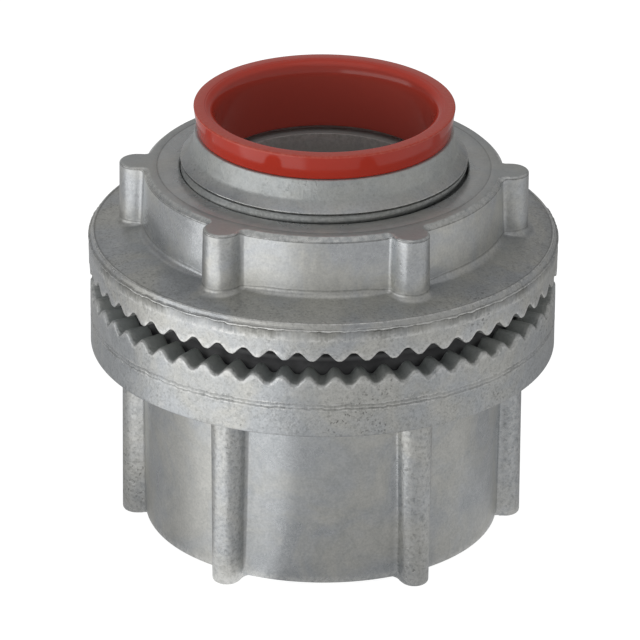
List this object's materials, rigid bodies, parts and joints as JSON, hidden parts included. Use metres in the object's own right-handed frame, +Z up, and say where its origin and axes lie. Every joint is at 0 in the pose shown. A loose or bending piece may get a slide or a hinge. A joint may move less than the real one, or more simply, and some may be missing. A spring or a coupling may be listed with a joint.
{
  "type": "conduit hub",
  "caption": "Round die-cast hub that clamps threaded conduit to an enclosure wall: ribbed socket, toothed flange with seal, threaded nipple, toothed lock nut and throat insulator.",
  "frame": {"origin": "on the axis, at the level of the feet of the body's ribs, where the hub stands", "axes": "+Z up the axis from the conduit socket to the nipple; the picture looks along +Y from above; ribs stand at every 60 degrees from +X"},
  "size_m": [0.0544, 0.0544, 0.0518],
  "materials": {
    "body_casting": "as-cast zinc alloy, satin, with flow marks and small pits",
    "nut_casting": "as-cast zinc alloy, satin, with flow marks and small pits",
    "insulator_plastic": "smooth moulded thermoplastic, semi-gloss red",
    "seal_rubber": "smooth black rubber cord"
  },
  "bodies": {
    "hub": {"hub_body": "body_casting", "throat_insulator": "insulator_plastic", "sealing_ring": "seal_rubber"},
    "nut": {"locking_nut": "nut_casting"}
  },
  "joints": [
    {"name": "nut_travel", "type": "slide", "parent": "hub", "child": "nut", "axis": [0, 0, 1], "range_m": [-0.0017, 0.022]}
  ]
}
